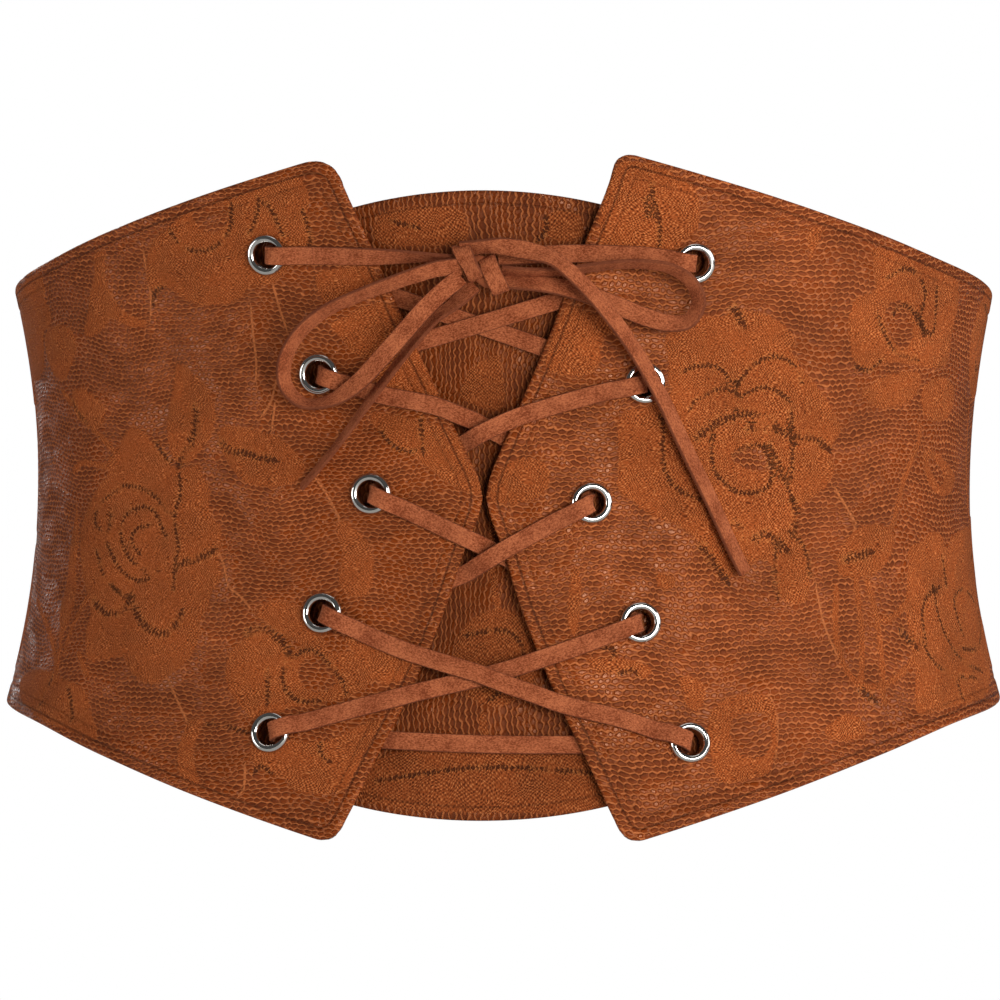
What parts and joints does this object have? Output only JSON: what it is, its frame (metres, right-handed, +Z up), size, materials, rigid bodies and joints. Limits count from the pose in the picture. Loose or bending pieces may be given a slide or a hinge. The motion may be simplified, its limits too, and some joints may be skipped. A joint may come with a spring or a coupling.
{
  "type": "corset belt",
  "caption": "Waist-cinching belt with pointed lace-covered front panels, laced through eyelets over a modesty panel and tied in a bow.",
  "frame": {"origin": "centre of the waist opening, at the height where the front panels' points meet", "axes": "-Y to the front where it is laced, +X to the right as seen from the front, +Z up"},
  "size_m": [0.2608, 0.1948, 0.1713],
  "materials": {
    "lace_covered_leather": "matte woven lace over soft gloss",
    "elastic_webbing": "ribbed, matte",
    "suede_lace": "napped, matte",
    "polished_nickel": "polished"
  },
  "bodies": {
    "root": {"left_front_panel": "lace_covered_leather", "right_front_panel": "lace_covered_leather", "modesty_panel": "lace_covered_leather", "back_band": "elastic_webbing", "eyelet_left_1": "polished_nickel", "eyelet_left_2": "polished_nickel", "eyelet_left_3": "polished_nickel", "eyelet_left_4": "polished_nickel", "eyelet_left_5": "polished_nickel", "eyelet_right_1": "polished_nickel", "eyelet_right_2": "polished_nickel", "eyelet_right_3": "polished_nickel", "eyelet_right_4": "polished_nickel", "eyelet_right_5": "polished_nickel", "lacing": "suede_lace", "bow_knot": "suede_lace", "bow_loop_left": "suede_lace", "bow_loop_right": "suede_lace", "lace_tail_left": "suede_lace", "lace_tail_right": "suede_lace"}
  },
  "joints": []
}
